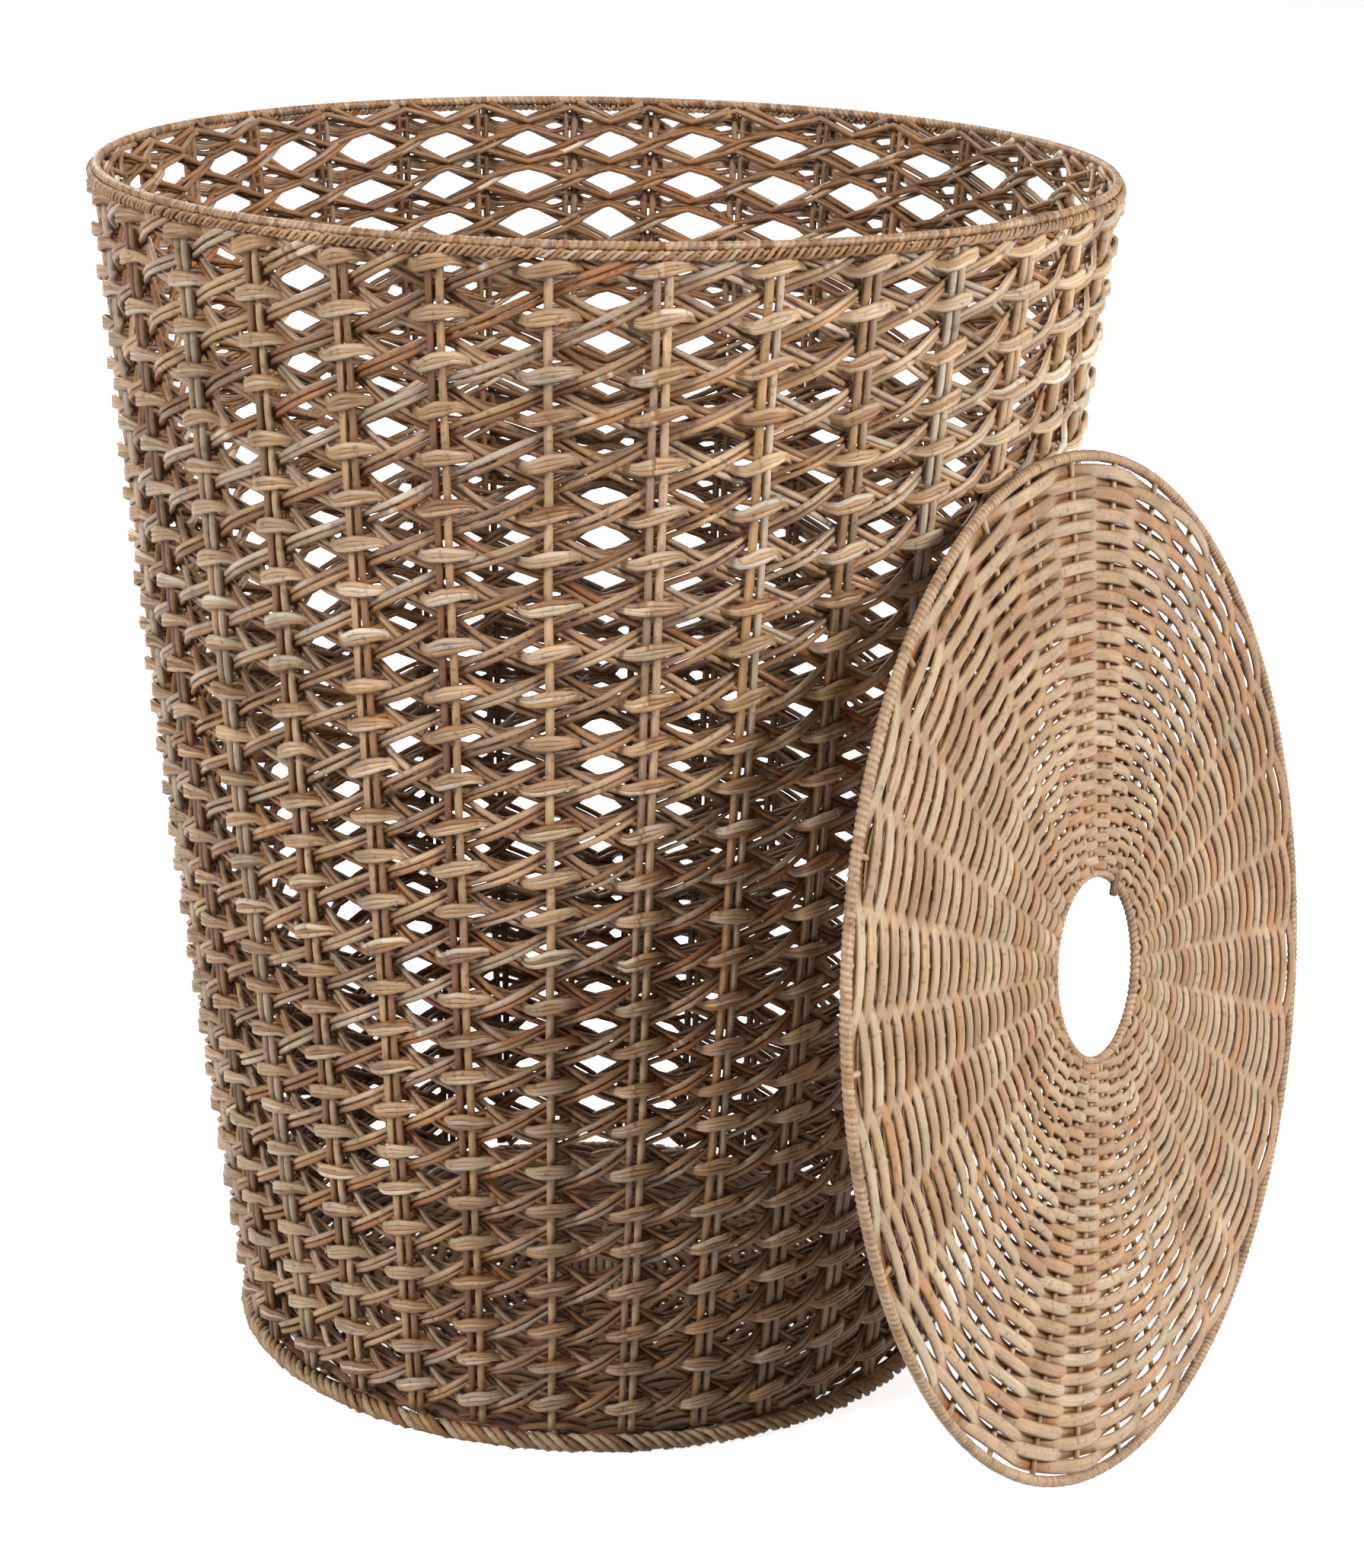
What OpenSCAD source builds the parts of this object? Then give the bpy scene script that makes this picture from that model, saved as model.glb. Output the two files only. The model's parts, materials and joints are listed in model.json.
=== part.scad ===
// Round open-weave cane wastebasket with a loose flat lid that leans on its right front side.
// Millimetres. The basket's axis is Z, it stands on the floor at z = 0, and -Y faces the viewer.

/* [Basket] */
// Height from the floor to the top of the rim
basket_h = 367; // [300:1:440]
// Radius of the weave's outer face, carried down to the floor
wall_foot_r = 113; // [90:0.5:130]
// Radius of the weave's outer face, carried up to the top of the rim
wall_top_r = 154; // [135:0.5:175]

/* [Weave] */
// Upright stakes round the wall, each a pair of canes
stake_count = 32; // [24:1:40]
// Rows of weavers up the wall
weave_rows = 27; // [20:1:34]
// Height of the lowest row's middle
first_row_z = 15.5; // [13:0.1:20]
// Depth of the highest row's middle below the top of the rim
last_row_drop = 8.3; // [7:0.1:14]

/* [Canes] */
// Diameter of a stake cane
stake_d = 2.6; // [2:0.1:3.2]
// Diameter of a weaver cane
weaver_d = 2.4; // [1.8:0.1:3]
// Width of a pair of diagonal canes
lattice_w = 3.4; // [2.6:0.1:5.4]
// Thickness of a diagonal cane
lattice_t = 2; // [1.4:0.1:2.6]
// Clear gap between canes that lie on each other
cane_gap = 0.25; // [0.2:0.05:0.4]

/* [Rim] */
// Diameter of the cane inside the rim
rim_core_d = 2; // [1.6:0.1:4]
// Thickness of the binding round a hoop
wrap_t = 0.6; // [0.4:0.05:1]
// Clearance between a hoop's cane and its binding
wrap_gap = 0.1; // [0.05:0.05:0.2]
// Opening below the rim's binding for the stakes, in degrees
rim_mouth = 140; // [110:5:170]

/* [Foot and base] */
// Diameter of the rolled foot border
foot_d = 6; // [5:0.5:10]
// Depth of the flat that the foot border rests on
foot_flat = 0.3; // [0.2:0.05:0.6]
// How far the foot border's centre line lies inside the wall's outer face
foot_inset = 2.6; // [1:0.1:3]
// How far the base's middle lies above the foot border's centre line
base_rise = 0.5; // [0:0.1:2]
// Diameter of a base spoke
base_spoke_d = 2.6; // [2:0.1:2.8]
// Thickness of one layer of the base weave
base_weave_t = 1.3; // [0.8:0.1:1.4]
// Radius of the crossed sticks in the middle of the base
base_hub_r = 15.5; // [14:0.5:30]
// Diameter of a crossed stick
hub_stick_d = 2.4; // [1.8:0.1:2.8]

/* [Lid] */
// How far the lid's hoop sits inside the rim's hoop when the lid is on
lid_inset = 1.6; // [0:0.1:2.4]
// Radius of the round hole in the lid
lid_hole_r = 26; // [18:0.5:40]
// Spokes in the lid
lid_spoke_count = 32; // [24:1:48]
// Diameter of a lid spoke
lid_spoke_d = 1.8; // [1.4:0.1:2.2]
// Thickness of one layer of the lid weave
lid_weave_t = 1.3; // [0.8:0.1:1.8]
// Bands of the lid weave
lid_bands = 8; // [4:1:9]
// Width of the open ring between the lid weave and the lid's hoop
lid_open_ring = 2.5; // [1:0.1:6]
// Diameter of the cane inside the lid's hoop
lid_core_d = 2.2; // [1.8:0.1:4]
// Diameter of the cane round the hole
hole_core_d = 1.6; // [1:0.1:2.4]
// How far the hole's straight wall stands off the round of its binding
hole_land = 0.2; // [0.1:0.05:0.5]
// How far the corners of the hole's binding reach past its sides
hole_corner = 0.45; // [0.2:0.05:0.6]

/* [Lean] */
// Bearing of the lid round the basket, from +X
lid_azimuth = -32; // [-60:1:-10]
// Tilt of the lid from flat
lid_tilt = 81; // [76:0.1:85]
// Clearance between the lid's hoop and the row it leans on
lean_gap = 0.3; // [0.2:0.05:1]

/* [Hidden] */
$fn = 64;
binding_flats = 12;
bite = 0.2;
stake_step = 360 / stake_count;
first_stake = -90 + stake_step / 2;
single_stake = stake_count - 1;
row_pitch = (basket_h - last_row_drop - first_row_z) / (weave_rows - 1);
wall_slope = (wall_top_r - wall_foot_r) / basket_h;
wall_lean = atan(wall_slope);
lobe_dz = (weaver_d - bite) / 2;
stake_half = stake_d / 2 / cos(wall_lean);
bay_rise = atan(row_pitch / (2 * wall_top_r * sin(stake_step / 2)));
lattice_half = lattice_w / 2 / cos(bay_rise);

rim_d = rim_core_d + 2 * (wrap_gap + wrap_t);
rim_z = basket_h - rim_d / 2;
rim_r = stake_r(rim_z);

foot_z = foot_d / 2 - foot_flat;
foot_r = wall_foot_r - foot_inset;
base_z = foot_z + base_rise;
base_out_r = foot_r - foot_d / 2 - cane_gap;
base_layer_z = base_spoke_d / 2 + wrap_gap;
hub_pitch = hub_stick_d + cane_gap;
hub_half = floor((base_hub_r - hub_stick_d / 2) / hub_pitch);
hub_dz = (hub_stick_d + wrap_gap) / 2;

stake_low = foot_z + foot_d / 2 + cane_gap + stake_d / 2 * sin(wall_lean);
stake_high = rim_z - rim_core_d / 2 - cane_gap - stake_d / 2 * sin(wall_lean);
lattice_low = first_row_z - row_pitch / 2;
lattice_high = basket_h - rim_d - cane_gap - lattice_half;

lid_d = lid_core_d + 2 * (wrap_gap + wrap_t);
lid_hoop_r = rim_r - lid_inset;
hole_d = hole_core_d + 2 * (wrap_gap + wrap_t + hole_land);
hole_hoop_r = lid_hole_r + hole_d / 2;
lid_weave_in = hole_hoop_r + hole_d / 2 + cane_gap;
lid_weave_out = lid_hoop_r - lid_d / 2 - lid_open_ring;
lid_band_w = (lid_weave_out - lid_weave_in) / lid_bands;
lid_layer_z = lid_spoke_d / 2 + wrap_gap;
lid_slot = lid_spoke_d + 2 * wrap_gap;

lid_z = lid_hoop_r * sin(lid_tilt) + lid_d / 2;
lid_top_z = lid_z + lid_hoop_r * sin(lid_tilt);
lean_reach = lid_d / 2 + weaver_d / 2 + lean_gap;
lean_on_stakes = stake_r(lid_top_z) + stake_half + lid_d / 2 + lean_gap;
lean_on_rows = [for (i = [1:weave_rows], side = [-1, 1]) lean_on(row_z(i) + side * lobe_dz)];
lid_x = max(concat([lean_on_stakes], lean_on_rows)) + lid_hoop_r * cos(lid_tilt);

cane_dark = [0.33, 0.22, 0.15];
cane_brown = [0.47, 0.33, 0.22];
cane_grey = [0.53, 0.45, 0.37];
cane_honey = [0.66, 0.5, 0.32];

function wall_r(z) = wall_foot_r + wall_slope * z;
function weaver_r(z) = wall_r(z) - weaver_d / 2;
function stake_r(z) = wall_r(z) - weaver_d - cane_gap - stake_half;
function rising_r(z) = stake_r(z) - stake_half - cane_gap;
function falling_r(z) = rising_r(z) - lattice_t - cane_gap;
function row_z(i) = first_row_z + (i - 1) * row_pitch;
function stake_angle(i) = first_stake + i * stake_step;
function two_digits(i) = i < 10 ? str("0", i) : str(i);
function row_name(i) = str("weave_row_", two_digits(i));
function band_name(i) = str("lid_weave_", i);

// Radius of the lid hoop's top when it touches a weaver cane at height z, or 0 out of its reach
function lean_on(z) =
    let (dz = lid_top_z - z)
    abs(dz) < lean_reach ? weaver_r(z) + sqrt(lean_reach * lean_reach - dz * dz) : 0;

// Four corners of a diagonal pair's section at a stake, on its outer and then its inner face
function section_at(angle, z, layer) = [
    for (corner = [[-1, 0], [1, 0], [1, 1], [-1, 1]])
        let (h = z + corner[0] * lattice_half)
        let (r = (layer == 0 ? rising_r(h) : falling_r(h)) - corner[1] * lattice_t)
        [r * cos(angle), r * sin(angle), h]
];

function mix(a, b, t) = [for (k = [0:len(a) - 1]) a[k] * (1 - t) + b[k] * t];

module ring(r, z, d) {
    rotate_extrude()
        translate([r, z])
            circle(d = d);
}

module washer(r_in, r_out, z, t) {
    translate([0, 0, z])
        difference() {
            cylinder(r = r_out, h = t);
            translate([0, 0, -1])
                cylinder(r = r_in, h = t + 2);
        }
}

// Thick foot border that the basket stands on, flat underneath
module foot_border() {
    color(cane_dark)
        rotate_extrude()
            difference() {
                translate([foot_r, foot_z])
                    circle(d = foot_d);
                translate([foot_r - foot_d, -foot_d])
                    square([2 * foot_d, foot_d]);
            }
}

// Base spokes between the crossed sticks and the foot border
module base_spokes() {
    color(cane_brown)
        for (i = [0:stake_count - 1])
            rotate([0, 0, stake_angle(i)])
                translate([base_hub_r + cane_gap, 0, base_z])
                    rotate([0, 90, 0])
                        cylinder(d = base_spoke_d, h = base_out_r - base_hub_r - cane_gap);
}

// Weave on the underside of the base spokes
module base_weave_under() {
    color(cane_brown)
        washer(base_hub_r + cane_gap, base_out_r, base_z - base_layer_z - base_weave_t, base_weave_t);
}

// Weave on the upper side of the base spokes
module base_weave_top() {
    color(cane_brown)
        washer(base_hub_r + cane_gap, base_out_r, base_z + base_layer_z, base_weave_t);
}

// One layer of the crossed sticks, along X
module hub_sticks() {
    for (i = [-hub_half:hub_half]) {
        y = i * hub_pitch;
        edge = abs(y) + hub_stick_d / 2;
        half = sqrt(base_hub_r * base_hub_r - edge * edge);
        translate([-half, y, 0])
            rotate([0, 90, 0])
                cylinder(d = hub_stick_d, h = 2 * half);
    }
}

// Lower crossed sticks of the base
module base_hub_lower() {
    color(cane_grey)
        translate([0, 0, base_z - hub_dz])
            hub_sticks();
}

// Upper crossed sticks of the base
module base_hub_upper() {
    color(cane_grey)
        translate([0, 0, base_z + hub_dz])
            rotate([0, 0, 90])
                hub_sticks();
}

// One upright cane, leaning out with the wall
module stake(i, offset) {
    rotate([0, 0, stake_angle(i)])
        translate([stake_r(stake_low), offset, stake_low])
            rotate([0, wall_lean, 0])
                cylinder(d = stake_d, h = (stake_high - stake_low) / cos(wall_lean));
}

// Left canes of the stakes, with the one stake that is a single cane
module stakes_left() {
    color(cane_grey)
        for (i = [0:stake_count - 1])
            stake(i, i == single_stake ? 0 : -(stake_d + cane_gap) / 2);
}

// Right canes of the stakes
module stakes_right() {
    color(cane_grey)
        for (i = [0:stake_count - 1])
            if (i != single_stake)
                stake(i, (stake_d + cane_gap) / 2);
}

// One row of two stacked weaver canes round the outside of the stakes
module weave_row(i) {
    color(i % 2 == 0 ? cane_brown : cane_dark)
        rotate_extrude()
            for (side = [-1, 1])
                translate([weaver_r(row_z(i) + side * lobe_dz), row_z(i) + side * lobe_dz])
                    circle(d = weaver_d);
}

// One diagonal pair that climbs a row with each stake that it passes, turning left or right
module diagonal(i, turn, layer) {
    bays = floor((lattice_high - lattice_low) / row_pitch);
    rest = (lattice_high - lattice_low) / row_pitch - bays;
    full = [
        for (k = [0:bays + 1])
            section_at(stake_angle(i + turn * k), lattice_low + k * row_pitch, layer)
    ];
    last = [for (c = [0:3]) mix(full[bays][c], full[bays + 1][c], rest)];
    points = [for (k = [0:bays], c = [0:3]) full[k][c]];
    count = 4 * (bays + 1);
    sides = [
        for (k = [0:bays], c = [0:3])
            let (a = 4 * k + c, b = 4 * k + (c + 1) % 4)
            each [[a, a + 4, b + 4], [a, b + 4, b]]
    ];
    caps = [[0, 1, 2], [0, 2, 3], [count + 2, count + 1, count], [count + 3, count + 2, count]];
    faces = concat(sides, caps);
    turned = [for (f = faces) [f[2], f[1], f[0]]];
    polyhedron(points = concat(points, last), faces = turn > 0 ? faces : turned);
}

// Diagonal pairs that rise to the right, next to the stakes
module lattice_rising() {
    color(cane_honey)
        for (i = [0:stake_count - 1])
            diagonal(i, 1, 0);
}

// Diagonal pairs that rise to the left, inside the others
module lattice_falling() {
    color(cane_brown)
        for (i = [0:stake_count - 1])
            diagonal(i, -1, 1);
}

// Cane hoop inside the rim, on the tops of the stakes
module rim_core() {
    color(cane_brown)
        ring(rim_r, rim_z, rim_core_d);
}

// Binding over the rim hoop in narrow flats, open below for the stakes
module rim_binding() {
    outer = rim_d / 2;
    inner = rim_core_d / 2 + wrap_gap;
    turns = [for (k = [0:binding_flats]) -90 + rim_mouth / 2 + k * (360 - rim_mouth) / binding_flats];
    back = [for (k = [0:binding_flats]) turns[binding_flats - k]];
    section = concat(
        [for (a = turns) [rim_r + outer * cos(a), rim_z + outer * sin(a)]],
        [for (a = back) [rim_r + inner * cos(a), rim_z + inner * sin(a)]]
    );
    color(cane_honey)
        rotate_extrude()
            polygon(section);
}

// Puts a lid piece, made flat round the origin, where the lid leans
module leaning() {
    rotate([0, 0, lid_azimuth])
        translate([lid_x, 0, lid_z])
            rotate([0, lid_tilt, 0])
                children();
}

// Spokes of the lid from the hole to the hoop
module lid_spokes() {
    spoke_in = hole_hoop_r + hole_core_d / 2 + cane_gap;
    spoke_out = lid_hoop_r - lid_core_d / 2 - cane_gap;
    color(cane_brown)
        leaning()
            for (i = [0:lid_spoke_count - 1])
                rotate([0, 0, (i + 0.5) * 360 / lid_spoke_count])
                    translate([spoke_in, 0, 0])
                        rotate([0, 90, 0])
                            cylinder(d = lid_spoke_d, h = spoke_out - spoke_in);
}

// One band of the lid weave, on both sides of the spokes
module lid_weave(i) {
    r_in = lid_weave_in + (i - 1) * lid_band_w;
    r_out = r_in + lid_band_w - cane_gap;
    color(i % 2 == 0 ? cane_honey : cane_grey)
        leaning() {
            washer(r_in, r_out, lid_layer_z, lid_weave_t);
            washer(r_in, r_out, -lid_layer_z - lid_weave_t, lid_weave_t);
        }
}

// Cane hoop inside the lid's edge
module lid_rim_core() {
    color(cane_brown)
        leaning()
            ring(lid_hoop_r, 0, lid_core_d);
}

// Binding over the lid's hoop, open inwards for the spokes
module lid_rim_binding() {
    color(cane_honey)
        leaning()
            rotate_extrude()
                translate([lid_hoop_r, 0])
                    difference() {
                        circle(d = lid_d);
                        circle(d = lid_core_d + 2 * wrap_gap);
                        translate([-lid_d, -lid_slot / 2])
                            square([lid_d, lid_slot]);
                    }
}

// Cane hoop round the hole
module lid_hole_core() {
    color(cane_brown)
        leaning()
            ring(hole_hoop_r, 0, hole_core_d);
}

// Binding over the hole's hoop, with a straight wall towards the hole and open outwards for the spokes
module lid_hole_binding() {
    color(cane_honey)
        leaning()
            rotate_extrude()
                translate([hole_hoop_r, 0])
                    difference() {
                        intersection() {
                            square([hole_d, hole_d], center = true);
                            circle(d = hole_d + 2 * hole_corner);
                        }
                        circle(d = hole_core_d + 2 * wrap_gap);
                        translate([0, -lid_slot / 2])
                            square([hole_d, lid_slot]);
                    }
}

foot_border();
base_spokes();
base_weave_under();
base_weave_top();
base_hub_lower();
base_hub_upper();
stakes_left();
stakes_right();
for (i = [1:weave_rows])
    weave_row(i);
lattice_rising();
lattice_falling();
rim_core();
rim_binding();
lid_spokes();
for (i = [1:lid_bands])
    lid_weave(i);
lid_rim_core();
lid_rim_binding();
lid_hole_core();
lid_hole_binding();
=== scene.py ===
"""Looks of the wicker wastebasket and its loose lid: every cane is swept in the CAD model's frame."""
import json
import math

import bpy
import mathutils
import numpy as np
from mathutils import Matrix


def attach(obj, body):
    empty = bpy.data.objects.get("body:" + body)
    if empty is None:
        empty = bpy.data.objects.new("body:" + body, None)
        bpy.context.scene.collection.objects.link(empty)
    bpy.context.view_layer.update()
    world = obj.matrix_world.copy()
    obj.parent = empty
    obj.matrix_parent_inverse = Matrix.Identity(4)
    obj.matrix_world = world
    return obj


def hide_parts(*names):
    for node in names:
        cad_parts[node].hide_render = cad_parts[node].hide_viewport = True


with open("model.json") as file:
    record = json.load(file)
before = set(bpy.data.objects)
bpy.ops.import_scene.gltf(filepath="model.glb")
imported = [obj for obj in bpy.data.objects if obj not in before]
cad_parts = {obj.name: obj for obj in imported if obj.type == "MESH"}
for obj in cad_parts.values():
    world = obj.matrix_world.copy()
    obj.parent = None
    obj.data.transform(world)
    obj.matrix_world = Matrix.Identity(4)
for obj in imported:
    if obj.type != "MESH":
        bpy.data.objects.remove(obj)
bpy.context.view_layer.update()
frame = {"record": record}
SEED = 7
rng = np.random.default_rng(SEED)

# Sizes of the solids, in millimetres
MM = 0.001
BASKET_H = 367.0
WALL_FOOT_R = 113.0
WALL_TOP_R = 154.0
WALL_SLOPE = (WALL_TOP_R - WALL_FOOT_R) / BASKET_H
STAKES = 32
STAKE_D = 2.6
ROWS = 27
WEAVER_D = 2.4
WEAVE_GAP = 0.25
FIRST_ROW_Z = 15.5
LAST_ROW_DROP = 8.3
ROW_PITCH = (BASKET_H - LAST_ROW_DROP - FIRST_ROW_Z) / (ROWS - 1)
RIM_D = 3.4
RIM_DEPTH = WEAVER_D + WEAVE_GAP + STAKE_D / 2 * math.hypot(1, WALL_SLOPE)
RIM_R = WALL_FOOT_R + WALL_SLOPE * (BASKET_H - RIM_D / 2) - RIM_DEPTH
FOOT_R = 110.4
FOOT_Z = 2.7
BASE_Z = 3.2
BASE_HUB_R = 15.5
BASE_OUT_R = 107.15
LID_INSET = 1.6
LID_HOOP_R = RIM_R - LID_INSET
LID_SPOKES = 32
LID_WEAVE_IN = 28.6
LID_WEAVE_DROP = 4.3
LID_WEAVE_OUT = LID_HOOP_R - LID_WEAVE_DROP
HOLE_HOOP_R = 27.3

# Where the lid leans: its hole is a mount of the part
hand_hole = next(mount for mount in frame["record"]["mounts"] if mount["name"] == "hand_hole")
LID_CENTRE = mathutils.Vector(hand_hole["pos_m"])
LID_TILT = math.acos(hand_hole["axis"][2])
LID_TURN = math.atan2(hand_hole["axis"][1], hand_hole["axis"][0])

# Angles of the stakes, in degrees, with the front between two of them
FRONT_TURN = -90.0
STAKE_STEP = 360 / STAKES
STAKE_JITTER = 0.45
STAKE_TURNS = FRONT_TURN + STAKE_STEP * (np.arange(STAKES) + 0.5) + rng.normal(0, STAKE_JITTER, STAKES)
SINGLE_STAKE = STAKES - 1

UP = np.array([0.0, 0.0, 1.0])


def unit(vectors):
    return vectors / np.linalg.norm(vectors, axis=-1, keepdims=True)


def ease(x, start, end):
    """Goes smoothly from 0 at start to 1 at end."""
    part = np.clip((x - start) / (end - start), 0, 1)
    return part * part * (3 - 2 * part)


PHASES = 6.0


def wobble(waves, along):
    """A sum of waves along a cane, each given by its size and its rate, with phases of their own."""
    return sum(size * np.sin(rate * along + rng.random() * PHASES) for size, rate in waves)


# Canes as meshes: their texture map counts in centimetres, and their ends lie in the top of the bake map
SIDES = 8
MAP_MM = 10
MAP_SHIFT = 7.3
BAKE_SIDES = 0.98
BAKE_MARGIN = 0.04
END_PLACE = 0.991
END_WIDE = 0.4
END_TALL = 0.006
END_MAP_SCALE = 50


def new_object(name, verts, quads, caps, uv, bake_uv, tint, stain, material):
    """A mesh object of quads and end caps with its two UV maps, its tint and its painted light and shade."""
    mesh = bpy.data.meshes.new(name)
    corners = np.concatenate([quads.ravel(), *caps])
    sizes = np.array([4] * len(quads) + [len(cap) for cap in caps])
    mesh.vertices.add(len(verts))
    mesh.vertices.foreach_set("co", verts.astype(np.float32).ravel())
    mesh.loops.add(len(corners))
    mesh.loops.foreach_set("vertex_index", corners.astype(np.int32))
    mesh.polygons.add(len(sizes))
    mesh.polygons.foreach_set("loop_start", (np.cumsum(sizes) - sizes).astype(np.int32))
    mesh.polygons.foreach_set("use_smooth", np.ones(len(sizes), bool))
    for layer_name, values in (("OFBake", bake_uv), ("cane", uv)):
        layer = mesh.uv_layers.new(name=layer_name)
        layer.data.foreach_set("uv", values.astype(np.float32).ravel())
    # the second attribute holds each point's painted shade, and painted light where it is below 0
    for layer_name, values in (("tint", tint), ("stain", stain)):
        layer = mesh.attributes.new(layer_name, "FLOAT", "POINT")
        layer.data.foreach_set("value", values.astype(np.float32).ravel())
    mesh.update(calc_edges=True)
    mesh.validate()
    mesh.materials.append(material)
    piece = bpy.data.objects.new(name, mesh)
    bpy.context.scene.collection.objects.link(piece)
    return piece


def cane_surface(paths, normals, half_w, half_t, sides, closed, swell):
    """The points of the sections along each path, in metres."""
    if closed:
        ahead = np.roll(paths, -1, 1)
        behind = np.roll(paths, 1, 1)
    else:
        ahead = np.concatenate([paths[:, 1:], 2 * paths[:, -1:] - paths[:, -2:-1]], 1)
        behind = np.concatenate([2 * paths[:, :1] - paths[:, 1:2], paths[:, :-1]], 1)
    tangent = unit(ahead - behind)
    side = unit(np.cross(normals, tangent))
    up = np.cross(tangent, side)
    turn = 2 * np.pi * np.arange(sides)[:, None] / sides
    section = np.cos(turn) * (side * half_w[..., None])[:, :, None]
    section = section + np.sin(turn) * (up * half_t[..., None])[:, :, None]
    if swell is not None:
        section = section * swell[..., None]
    return ((paths[:, :, None] + section) * MM).reshape(-1, 3)


def corner_map(u_from, u_to, v_from, v_to):
    """Where the four corners of each quad lie in a UV map."""
    corners = ((u_from, v_from), (u_from, v_to), (u_to, v_to), (u_to, v_from))
    return np.stack([np.stack(corner, -1) for corner in corners], -2).reshape(-1, 2)


def sweep(
    name, paths, normals, half_w, half_t, material, tint,
    sides=SIDES, closed=False, swell=None, stain_at=None,
):
    """Canes swept along paths, one row of points each, in millimetres.

    normals point out of the woven surface, half_w and half_t are half the cane's width and thickness, tint
    picks its colour, swell scales each point of each section, and the last argument gives each point its
    painted shade, with values below 0 for painted light.
    """
    count, points = paths.shape[:2]
    half_w = np.broadcast_to(half_w, (count, points))
    half_t = np.broadcast_to(half_t, (count, points))
    verts = cane_surface(paths, normals, half_w, half_t, sides, closed, swell)

    steps = points if closed else points - 1
    cane, i, j = np.meshgrid(np.arange(count), np.arange(steps), np.arange(sides), indexing="ij")

    def corner(step, side):
        return (cane * points + step % points) * sides + side % sides

    quads = np.stack([corner(i, j), corner(i, j + 1), corner(i + 1, j + 1), corner(i + 1, j)], -1)

    gaps = np.linalg.norm(np.roll(paths, -1, 1) - paths, axis=-1)[:, :steps]
    along = np.concatenate([np.zeros((count, 1)), np.cumsum(gaps, 1)], 1) / MAP_MM
    girth = np.pi * float(np.mean(half_w + half_t)) / MAP_MM
    apart = along + MAP_SHIFT * np.arange(count)[:, None]
    uv = corner_map(apart[cane, i], apart[cane, i + 1], girth * j / sides, girth * (j + 1) / sides)

    length = float(np.mean(along[:, -1]))
    chops = max(1, round(math.sqrt(length / (count * girth))))
    chop = math.ceil(steps / chops)
    strip = cane * chops + i // chop
    chop_start = (i % chop) / chop

    def strip_height(side):
        within = BAKE_MARGIN + (1 - 2 * BAKE_MARGIN) * side / sides
        return (strip + within) / (count * chops) * BAKE_SIDES

    bake_uv = corner_map(chop_start, chop_start + 1 / chop, strip_height(j), strip_height(j + 1))

    caps = []
    if not closed:
        ends = 2 * count
        for k in range(count):
            first = k * points * sides + np.arange(sides)
            caps += [first[::-1], first + (points - 1) * sides]
        turn = 2 * np.pi * np.arange(sides) / sides
        spot = np.stack([np.cos(turn) * END_WIDE / ends, np.sin(turn) * END_TALL], -1)
        places = np.stack([(np.arange(ends) + 0.5) / ends, np.full(ends, END_PLACE)], -1)
        bake_uv = np.concatenate([bake_uv, (places[:, None] + spot).reshape(-1, 2)])
        uv = np.concatenate([uv, np.tile(spot * END_MAP_SCALE, (ends, 1))])

    tint = np.repeat(np.broadcast_to(tint, (count, points))[..., None], sides, -1)
    # painted shade and painted light for each point
    stain = np.zeros(len(verts)) if stain_at is None else stain_at(verts / MM)
    return new_object(name, verts, quads.reshape(-1, 4), caps, uv, bake_uv, tint, stain, material)


def sweep_flat(name, paths, half_w, half_t, material, tint, **more):
    """Canes swept in a flat surface that faces up."""
    paths = np.array(paths)
    return sweep(name, paths, np.broadcast_to(UP, paths.shape), half_w, half_t, material, tint, **more)


def lengths_of_cane(count, points, step, least, most):
    """Tints that change where one length of cane ends and the next begins, halfway between two crossings."""
    tint = np.zeros((count, points))
    for k in range(count):
        at = step // 2 - step * int(rng.integers(1, most))
        while at < points:
            run = step * int(rng.integers(least, most + 1))
            tint[k, max(at, 0):max(at + run, 0)] = rng.random()
            at += run
    return tint


def give(piece, body, nodes):
    """Says which nodes a piece replaces and the body that it rides on."""
    if nodes:
        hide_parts(*nodes)
    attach(piece, body)


def in_basket(piece, slot, *nodes):
    give(piece, "basket", nodes)


def in_lid(piece, slot, *nodes):
    """Turns a flat lid piece to where the lid leans, and gives it to the lid."""
    lean = mathutils.Matrix.Rotation(LID_TILT, 4, "Y")
    spin = mathutils.Matrix.Rotation(LID_TURN, 4, "Z")
    piece.data.transform(mathutils.Matrix.Translation(LID_CENTRE) @ spin @ lean)
    piece.data.update()
    give(piece, "lid", nodes)


# Materials of the canes: factors for painted light and for painted shade, and the fineness of the grain
WHITE = (1, 1, 1, 1)
# the next three colours are painted light, painted shade, and the lid's painted shade
PAINTED_LIGHT = (1.24, 1.38, 1.52, 1)
PAINTED_SHADE = (0.42, 0.24, 0.09, 1)
LID_PAINTED_SHADE = (0.56, 0.33, 0.13, 1)
FIBRE_STRETCH = (0.9, 26, 1)
BLOTCHES_PER_M = 60.0
SPECKS_PER_M = 520.0
NOISE_LOW = 0.3
NOISE_HIGH = 0.7
SPECK_LOW = 0.28
SPECK_HIGH = 0.4
SPECK_LIGHT = 0.55
STREAK_LIGHTENS = 0.4
BLOTCH_LIGHTENS = 0.5
GRAIN_DETAIL = 3.0
SPECK_DETAIL = 1.0
DULLER = 0.12
GLOSSIER = 0.08
BUMP_M = 0.00012
BUMP_STRENGTH = 0.7


def linear(red, green, blue):
    """A colour of 0 to 255 as a linear RGBA."""
    c = np.array([red, green, blue]) / 255
    c = np.where(c <= 0.04045, c / 12.92, ((c + 0.055) / 1.055) ** 2.4)
    return (*c, 1.0)


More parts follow.
